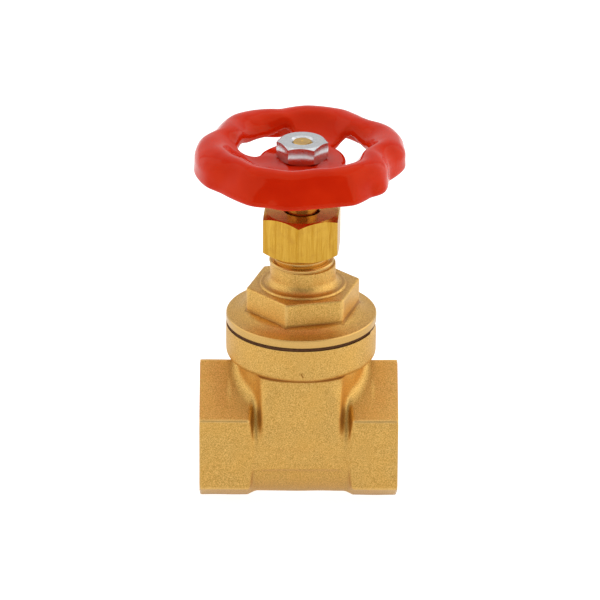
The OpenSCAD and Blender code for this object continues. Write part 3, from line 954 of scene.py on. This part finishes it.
def make_gasket():
    """Cut fibre ring: its edge is not quite round and not quite even."""
    gasket = lathe([(17.58, FLANGE_TOP), (21.5, FLANGE_TOP), (21.6, FLANGE_TOP + 0.1),
                    (21.64, FLANGE_TOP + 0.5), (21.6, RIM_LOW - 0.1), (21.5, RIM_LOW),
                    (17.58, RIM_LOW)], 256)
    points = points_of(gasket.data)
    angle = np.arctan2(points[:, 1], points[:, 0])
    radius = np.hypot(points[:, 0], points[:, 1])
    outer = np.clip((radius - 20) / 1.5, 0, 1)
    uneven = (0.09 * np.sin(3 * angle + 0.7) + 0.05 * np.sin(7 * angle + 2.1)
              + 0.03 * np.sin(17 * angle) + 0.02 * np.sin(41 * angle + 1.0)
              - 0.06 - 0.08 * np.cos(angle))
    points[:, :2] *= ((radius + uneven * outer) / radius)[:, None]
    gasket.data.vertices.foreach_set("co", points.astype(np.float32).ravel())
    gasket.data.update()
    return sharpen(gasket, 50)


# ---------------------------------------------------------------- gate
def wedge_field(x, y, z):
    face = (np.abs(x) - WEDGE_HALF - z * TAPER) * math.cos(math.radians(4))
    disc = rounded(np.hypot(y, z) - DISC_R, face, 0.5)
    boss = rounded(rounded(np.hypot(x, y) - 7.0, z - 18.2, 0.8), -z, 0.5)
    boss = rounded(boss, face + 0.4, 0.6)
    return melt(disc, boss, 1.2) + wobble(x, y, z, 21, 9.0, 0.012)


def make_wedge():
    wedge = nets(wedge_field, (-10, -14.5, -14.5), (10, 14.5, 19.5), 0.45)
    wedge = cut_sides(wedge, 1.6, 12.8, 15, -15, 15)
    wedge = cut(wedge, cyl(4.7, -15, 8.2, 96))
    section = [(0.0, 3.35), (0.07, 3.35), (0.21, 4.62), (0.62, 4.62), (0.76, 3.35)]
    tap = thread(section, LIFT_PITCH, 8.6, 20.0, 72, left=True)
    wedge = cut(wedge, keep(tap, cyl(5, 8.0, 20, 48)))
    wedge = cut(wedge, turned([(3.3, 17.0), (4.75, 17.35), (4.85, 17.9), (5.3, 18.4),
                               (5.3, 19)], 96))
    return sharpen(wedge, 30)


# ---------------------------------------------------------------- stem and the parts around it
# Stem without threads and square: (radius, z)
STEM_CORE = [
    (3.0, LIFT_LOW), (3.2, 11.8), (3.2, 42.5), (4.5, 43.55), (4.5, 45.16), (6.8, 45.16),
    (7.0, 45.36), (7.0, 47.1), (6.8, 47.3), (4.5, 47.3), (4.5, 82.45), (4.2, 82.75)]


def make_stem():
    section = [(0.0, 3.19), (0.08, 3.19), (0.215, 4.5), (0.55, 4.5), (0.685, 3.19)]
    stem = turned(STEM_CORE)
    lifting = thread(section, LIFT_PITCH, LIFT_LOW, 41.0, left=True)
    stem = add(stem, keep(lifting, turned([(3.25, LIFT_LOW), (4.6, 12.9), (4.6, 41.6)], 96)))
    square = box(-SQUARE_HALF, SQUARE_HALF, -SQUARE_HALF, SQUARE_HALF, 81.5, 85.3)
    stem = add(stem, keep(square, turned([(4.5, 81.5), (4.5, 84.9), (4.2, 85.3)], 96)))
    end = cyl(2.46, M6_START, M6_TOP, 96)
    ridge = thread(thread_form(2.44, 2.95), M6_PITCH, M6_START, M6_TOP, 72)
    ridge = keep(ridge, turned([(3.1, 84.6), (3.1, 89.9), (2.35, M6_TOP)], 96))
    stem = add(stem, add(end, ridge))
    # conical centre hole in the top
    stem = cut(stem, lathe([(0, 90.15), (0.55, 90.65), (0.55, 91), (0, 91)], 48))
    return sharpen(stem, 30)


def hex_nut(flats, turn, z0, z1, land, edge):
    """Nut blank with chamfered corners. A corner lies at turn degrees; edge is its round."""
    out = (flats / 2 - edge) / math.cos(PI / 6)
    outline = []
    for k in range(6):
        corner = math.radians(turn) + k * PI / 3
        x, y = out * math.cos(corner), out * math.sin(corner)
        outline += [(x + edge * math.cos(corner + a), y + edge * math.sin(corner + a))
                    for a in np.linspace(-PI / 6, PI / 6, 4)]
    corner_r = flats / math.sqrt(3)
    slope = math.tan(math.radians(30))
    drop = (corner_r - land) * slope + 0.2 * slope
    blank = turned([(land, z0), (corner_r + 0.2, z0 + drop), (corner_r + 0.2, z1 - drop),
                    (land, z1)], 192)
    return keep(prism(outline, z0, z1), blank)


def make_packing_nut():
    nut = hex_nut(GLAND_AF, GLAND_TURN, GLAND_LOW, GLAND_TOP, GLAND_AF / 2 - 0.3, 0.12)
    below = GLAND_LOW - 1
    bore = thread(thread_form(NECK_THREAD_R - 0.62, NECK_THREAD_R + 0.08), NECK_PITCH,
                  NECK_THREAD_START, 70.0)
    bore = keep(bore, cyl(9.5, below, GLAND_ROOF, 48))
    bore = add(bore, cyl(NECK_THREAD_R + 0.1, 64.4, GLAND_ROOF))
    bore = add(bore, turned([(NECK_THREAD_R + 0.9, below),
                             (NECK_THREAD_R + 0.9, GLAND_LOW + 0.05),
                             (NECK_THREAD_R - 0.3, GLAND_LOW + 1.25)]))
    bore = add(bore, turned([(5.05, 66), (5.05, GLAND_TOP - 0.35), (5.4, GLAND_TOP), (5.4, 71)]))
    return sharpen(cut(nut, bore), 20)


def make_handwheel_nut():
    z0, z1 = HUB_TOP + 0.03, HUB_TOP + 5.4
    nut = hex_nut(12.9, -3.3, z0, z1, 6.35, 0.15)
    tap = thread(thread_form(2.5, 3.02), M6_PITCH, M6_START, 92.0, 72)
    tap = keep(tap, cyl(4, M6_START, 92, 48))
    tap = add(tap, turned([(2.5, z1 - 0.95), (3.5, z1), (3.5, z1 + 1)], 96))
    tap = add(tap, turned([(3.5, z0 - 1), (3.5, z0), (2.5, z0 + 0.9)], 96))
    nut = cut(nut, tap)
    bevel = nut.modifiers.new("bevel", "BEVEL")
    bevel.width, bevel.segments = 0.08, 2
    bevel.limit_method, bevel.angle_limit = "ANGLE", math.radians(20)
    bevel.use_clamp_overlap = True
    bevel.harden_normals = False
    mesh = evaluated(nut)
    nut.modifiers.remove(bevel)
    nut.data = mesh
    return sharpen(nut, 40)


def make_ring(inner, outer, z0, z1, edge):
    """Plain ring with chamfered edges."""
    return sharpen(lathe([
        (inner + edge, z0), (outer - edge, z0), (outer, z0 + edge), (outer, z1 - edge),
        (outer - edge, z1), (inner + edge, z1), (inner, z1 - edge), (inner, z0 + edge)]), 50)


def make_follower():
    return sharpen(lathe([
        (4.62, 58.9), (6.34, 58.9), (6.54, 59.1), (6.54, 64.3), (7.83, 64.3), (8.03, 64.5),
        (8.03, 66.4), (7.86, 66.57), (4.82, 66.57), (4.62, 66.37)]), 30)


# ---------------------------------------------------------------- handwheel
def soften(values, step, spread, reach, edges):
    """Gaussian smoothing of evenly spaced values."""
    kernel = np.exp(-0.5 * (np.arange(-reach, reach + 1) * step / spread) ** 2)
    return np.convolve(np.pad(values, reach, mode=edges), kernel / kernel.sum(), mode="valid")


def round_table(table):
    """Smooth closed outline, one radius a quarter degree, from (degrees, radius)."""
    radii = np.interp(np.arange(0, 360, 0.25), *zip(*table), period=360)
    return soften(radii, 0.25, 1.6, 40, "wrap")


# Upper skin from hub to rim: (radius, z)
DISH = [
    (0.0, 85.4), (12.9, 85.4), (14.4, 85.52), (16.0, 86.0), (17.6, 86.85), (19.4, 88.15),
    (21.4, 90.0), (22.8, 90.95), (24.2, 91.3), (26.0, 91.38), (40.0, 91.38)]
DISH_R = np.linspace(0, 40, 801)
DISH_Z = soften(np.interp(DISH_R, *zip(*DISH)), 0.05, 0.55, 30, "edge")
DISH_SLOPE = np.gradient(DISH_Z, DISH_R)
CREST_ROUND = 5.6

# Plan outline about the rim's own centre, (degrees, radius), at the skirt's lip and at the
# crest. The wheel is pressed from sheet, so no two lobes are alike.
LIP = round_table([
    (0, 29.9), (6, 30.2), (13.5, 29.7), (22, 30.3), (31, 29.6), (42, 28.0), (53, 29.2),
    (61, 30.2), (73.5, 29.6), (86, 30.2), (94, 29.4), (103.5, 27.7), (113, 29.4), (121, 30.2),
    (133.5, 29.6), (142, 30.0), (149, 29.0), (156, 28.2), (163, 29.0), (170, 30.0), (178, 30.2),
    (186, 30.35), (193, 30.25), (200, 30.15), (207, 29.9), (212, 29.3), (217, 28.85),
    (222, 28.9), (228, 29.3), (236, 29.95), (241.5, 30.35), (246, 30.2), (251, 29.6),
    (256.5, 30.1), (262, 30.4), (270, 30.0), (276, 29.2), (282, 28.8), (288, 29.0),
    (293, 29.4), (301, 30.2), (308, 29.4), (315, 28.55), (320.5, 29.2), (325, 29.4),
    (331, 28.4), (336, 27.4), (340.5, 26.6), (345, 27.1), (348.6, 27.8), (355, 29.1)])
CREST = round_table([
    (0, 30.2), (8, 30.4), (14, 30.7), (22, 30.9), (31, 30.1), (38, 28.8), (45, 28.3),
    (53, 29.1), (61, 30.1), (73.5, 30.35), (86, 30.1), (94, 29.2), (103.5, 27.7), (113, 29.2),
    (121, 30.1), (133, 30.3), (140, 29.8), (146, 29.0), (152, 28.0), (157, 27.8), (161, 28.1),
    (166, 29.3), (171, 30.0), (180, 30.3), (193, 30.35), (203, 30.1), (210, 29.5), (217, 28.9),
    (222, 29.0), (229, 29.6), (240, 30.25), (253, 30.25), (264, 30.25), (273, 29.6),
    (282, 28.9), (292, 29.4), (303, 30.1), (313.5, 30.0), (323, 29.4), (331, 28.3),
    (337, 27.2), (340.5, 26.7), (345, 27.1), (349, 27.8), (355, 29.4)])

# Windows between hub and rim: (centre, half angle) in degrees
WINDOWS = ((14.0, 34.5), (136.0, 38.0), (255.0, 34.0))


def degrees_from(degrees, centre):
    return (degrees - centre + 180) % 360 - 180


def wheel_outline(degrees, z):
    quarter = (degrees % 360) * 4
    whole = np.floor(quarter).astype(int)
    part = quarter - whole
    here, after = whole % 1440, (whole + 1) % 1440
    up = ease(z, 83.3, 87.8)
    return ((LIP[here] * (1 - part) + LIP[after] * part) * (1 - up)
            + (CREST[here] * (1 - part) + CREST[after] * part) * up)


def wheel_top_field(x, y, z):
    """Distance under the wheel's outer skin: negative inside the solid below it."""
    x = x - WHEEL_SHIFT * ease(np.hypot(x, y), 12.5, 23.0)
    radius = np.hypot(x, y)
    degrees = np.degrees(np.arctan2(y, x))
    outline = wheel_outline(degrees, z)
    dish_r = radius + (WHEEL_R - outline) * ease(radius, 13.0, 22.0)
    slope = np.interp(dish_r, DISH_R, DISH_SLOPE)
    top = (z - np.interp(dish_r, DISH_R, DISH_Z)) / np.sqrt(1 + slope * slope)
    # the -Y side is pressed to a sharper crest and leans in
    near = ease(np.abs(degrees_from(degrees, 270)), 66.0, 40.0)
    lean = 0.44 * near * np.maximum(z - 83.0, 0)
    side = (radius - outline + lean) * (0.97 - 0.03 * near)
    return rounded(side, top, CREST_ROUND - 3.5 * near) + wobble(x, y, z, 5, 10.0, 0.06)


def window_field(x, y):
    """Plan distance to the nearest window: a straight-sided sector, corners rounded."""
    radius = np.hypot(x, y)
    degrees = np.degrees(np.arctan2(y, x))
    nearest = np.full(radius.shape, 1e9)
    for centre, half in WINDOWS:
        angle = np.radians(degrees_from(degrees, centre))
        half = math.radians(half)
        side = (np.abs(radius * np.sin(angle)) * math.cos(half)
                - radius * np.cos(angle) * math.sin(half))
        window = rounded(rounded(side, radius - 18.9, 2.4), 12.5 - radius, 1.4)
        nearest = np.minimum(nearest, window)
    return nearest


def wheel_sheet(x, y, z, inset):
    """The wheel's sheet, thinned by inset on every side."""
    half = SHELL / 2 - inset
    # the coating is thicker in a bead just above the skirt's lip
    bead = 0.10 * np.exp(-((z - SKIRT_LOW - 1.4) / 1.3) ** 2) if inset == 0 else 0.0
    sheet = np.abs(wheel_top_field(x, y, z) + SHELL / 2) - half - bead
    edge = max(half - 0.02, 0.05)
    return np.maximum(rounded(sheet, SKIRT_LOW + inset - z, edge),
                      rounded(sheet, inset - window_field(x, y), edge))


def coat_field(x, y, z):
    return wheel_sheet(x, y, z, 0.0)


def core_field(x, y, z):
    return wheel_sheet(x, y, z, COAT)


def hollow_field(x, y, z):
    """The core with a thin gap around it."""
    return core_field(x, y, z) - 0.03


def make_wheel():
    """Red coating and the pressing inside it."""
    low, high = (-32.2, -31.5, 80.0), (31.2, 31.5, 92.4)
    hole = SQUARE_HALF + 0.06
    coat = nets(coat_field, low, high, 0.43)
    core = nets(core_field, low, high, 0.62)
    coat = cut(coat, nets(hollow_field, low, high, 0.62))
    for piece in (core, coat):
        sharpen(cut(piece, box(-hole, hole, -hole, hole, 70, 100)), 50)
    # shading normals from the field, on the outer skin and clear of the square hole
    points = points_of(coat.data)
    normals = gradient(coat_field, points, 0.12)
    normals /= np.maximum(np.linalg.norm(normals, axis=1), 1e-9)[:, None]
    skin = np.abs(coat_field(*points.T)) < 0.03
    clear = np.maximum(np.abs(points[:, 0]), np.abs(points[:, 1])) > 3.7
    normals[~(skin & clear)] = 0
    coat.data.normals_split_custom_set_from_vertices([tuple(n) for n in normals])
    return coat, core


# ---------------------------------------------------------------- build
BODY_BRASS = forged_brass("forged_brass_body", cut_body, shade_and_pit_body, wear_and_highlight_body)
BONNET_BRASS = forged_brass("forged_brass_bonnet", cut_bonnet, shade_bonnet, wear_and_highlight_bonnet)
GATE_BRASS = forged_brass("cast_brass_gate", cut_wedge, nowhere, nowhere)
TURNED = bright_brass("turned_brass", drawn=False)
BAR = bright_brass("bar_brass", drawn=True)
FIBRE, YARN, STEEL, RED, ZINC = fibre(), packing(), steel(), red_coat(), zinc()
VALVE, STEM = "valve_body", "stem_and_handwheel"

finish(make_body(), "body_forging", VALVE, BODY_BRASS, "body")
finish(make_bonnet(), "bonnet_forging", VALVE, BONNET_BRASS, "bonnet")
finish(make_gasket(), "gasket_ring", VALVE, FIBRE, "bonnet_gasket")
finish(make_wedge(), "gate_casting", "gate", GATE_BRASS, "gate_wedge")
finish(make_stem(), "stem_turned", STEM, TURNED, "stem")
finish(make_ring(4.65, 8.38, 43.6, 45.08, 0.15), "stop_ring", VALVE, TURNED,
       "stem_stop_ring")
for i, place_name in enumerate(("lower", "middle", "upper")):
    bottom = PACKING_LOW + i * PACKING_STEP
    finish(make_ring(4.53, 6.57, bottom, bottom + PACKING_HEIGHT, 0.45),
           "packing_" + place_name, VALVE, YARN, "packing_ring_" + place_name)
finish(make_follower(), "follower_turned", VALVE, TURNED, "gland_follower")
finish(make_packing_nut(), "packing_nut_bar", VALVE, BAR, "packing_nut")
coating, pressing = make_wheel()
finish(coating, "wheel_coating", STEM, RED, "handwheel_coating")
finish(pressing, "wheel_pressing", STEM, STEEL, "handwheel_core")
finish(make_handwheel_nut(), "wheel_nut", STEM, ZINC, "handwheel_nut")

# ---------------------------------------------------------------- floor, light, camera; metres
FLOOR_Z, FLOOR_HALF = -0.02196, 3.0
# Glow under the valve, in front (-Y) and elsewhere, and as the camera sees it
GLOW_NEAR, GLOW_FRONT, GLOW_SIDE, GLOW_SEEN = 0.47, 0.59, 0.66, 0.93
# Tent at -X, +X, +Y, -Y and overhead
TENT = (1.16, 1.42, 0.72, 0.27, 1.0)
TENT_TOP_EDGE, TENT_SIDE_EDGE = 0.76, 0.70   # seams, as parts of the unit direction
SOFTBOX_AT, SOFTBOX_SIZE, SOFTBOX_WATTS = (0.15, 0.35, 1.0), (0.8, 0.6), 0.3
SOFTBOX_AIM = Vector((0, 0, 0.04))
CAMERA_AIM, CAMERA_DISTANCE = Vector((-0.000397, 0, 0.04083)), 1.5
CAMERA_ELEVATION, CAMERA_AZIMUTH, CAMERA_ROLL = 24.08, -0.4, 0.35      # degrees


def floor_material():
    """Translucent white table lit from below, its glow set apart near and in front."""
    material, tree = new_material("floor_pale")
    place = tree.node("TexCoord", out="Object")
    x, y, _ = place.split()
    near = hyp(x, y).fade(0.13, 0.24, SMOOTH)
    ahead = (y * -1.0) / maximum(hyp(x, y), 0.001)
    front = ahead.ramp(0.35, 0.85, kind=SMOOTH) * (1.0 - near)
    side = (1.0 - near) - front
    glow = (near * tree.level("W0", GLOW_NEAR) + front * tree.level("W1", GLOW_FRONT)
            + side * tree.level("W2", GLOW_SIDE))
    seen = tree.node("LightPath", out="Is Camera Ray")
    glow = seen.mix_value(glow, tree.level("WC", GLOW_SEEN))
    tone = place.noise(scale=30.0, detail=3.0).ramp(0.3, 0.7, to=(0.495, 0.505))
    white = tree.node("CombineColor", {0: tone, 1: tone, 2: tone})
    diffuse = tree.node("BsdfDiffuse", {"Color": white})
    light = tree.node("Emission", {"Color": (1, 1, 1, 1), "Strength": glow})
    tree.node("OutputMaterial", {0: tree.node("AddShader", {0: diffuse, 1: light})})
    return material


def make_floor():
    half = FLOOR_HALF
    corners = [(-half, -half), (half, -half), (half, half), (-half, half)]
    mesh = bpy.data.meshes.new("floor")
    mesh.from_pydata([(x, y, FLOOR_Z) for x, y in corners], [], [(0, 1, 2, 3)])
    floor = bpy.data.objects.new("floor", mesh)
    bpy.context.scene.collection.objects.link(floor)
    mesh.materials.append(floor_material())


def make_world():
    """White tent: one level for each side of it, plain white to the camera."""
    world = bpy.data.worlds.new("studio")
    bpy.context.scene.world = world
    tree = Tree(world)
    x, y, z = tree.node("TexCoord", out="Generated").split()
    top = z.ramp(TENT_TOP_EDGE - 0.03, TENT_TOP_EDGE + 0.03, kind=SMOOTH)
    rest = 1.0 - top
    level_length = maximum(hyp(x, y), 0.001)
    x, y = x / level_length, y / level_length
    left = x.ramp(-0.66, -0.74, kind=SMOOTH) * rest
    right = x.ramp(0.66, 0.74, kind=SMOOTH) * rest
    middle = rest - left - right
    back = middle * y.ramp(-0.05, 0.05)
    # the step from front to back is smooth as well
    back.socket.node.inputs[1].links[0].from_node.interpolation_type = SMOOTH
    front = middle - back
    parts = [zone * tree.level("W%d" % (i + 3), TENT[i])
             for i, zone in enumerate((left, right, back, front, top))]
    light = reduce(Signal.__add__, parts)
    seam = maximum(z.near(TENT_TOP_EDGE, 0.010, 0.020),
                   rest * abs(x).near(TENT_SIDE_EDGE, 0.012, 0.024))
    light = light * (1.0 - seam * 0.6)
    light = tree.node("LightPath", out="Is Camera Ray").mix_value(light, 1.0)
    sky = tree.node("Background", {"Color": (1, 1, 1, 1), "Strength": light})
    tree.node("OutputWorld", {0: sky})


def make_softbox():
    """One broad softbox high behind the valve."""
    light = bpy.data.lights.new("softbox_top", "AREA")
    light.shape, light.energy = "RECTANGLE", SOFTBOX_WATTS
    light.size, light.size_y = SOFTBOX_SIZE
    lamp = bpy.data.objects.new("softbox_top", light)
    lamp.location = SOFTBOX_AT
    lamp.rotation_euler = (SOFTBOX_AIM - lamp.location).to_track_quat("-Z", "Y").to_euler()
    bpy.context.scene.collection.objects.link(lamp)


def make_camera():
    turn, rise = math.radians(CAMERA_AZIMUTH), math.radians(CAMERA_ELEVATION)
    away = Vector((math.sin(turn) * math.cos(rise), -math.cos(turn) * math.cos(rise),
                   math.sin(rise)))
    place = CAMERA_AIM + CAMERA_DISTANCE * away
    roll = Matrix.Rotation(math.radians(CAMERA_ROLL), 4, "Z").to_quaternion()
    lens = bpy.data.cameras.new("camera")
    lens.sensor_width, lens.lens = 36.0, 310.9
    lens.clip_start, lens.clip_end = 0.05, 20.0
    camera = bpy.data.objects.new("camera", lens)
    camera.location = place
    camera.rotation_mode = "QUATERNION"
    camera.rotation_quaternion = (CAMERA_AIM - place).to_track_quat("-Z", "Y") @ roll
    bpy.context.scene.collection.objects.link(camera)
    bpy.context.scene.camera = camera


make_floor()
make_world()
make_softbox()
make_camera()
view = bpy.context.scene.view_settings
view.view_transform = "Standard"
view.look = "None"
view.exposure = 0.0
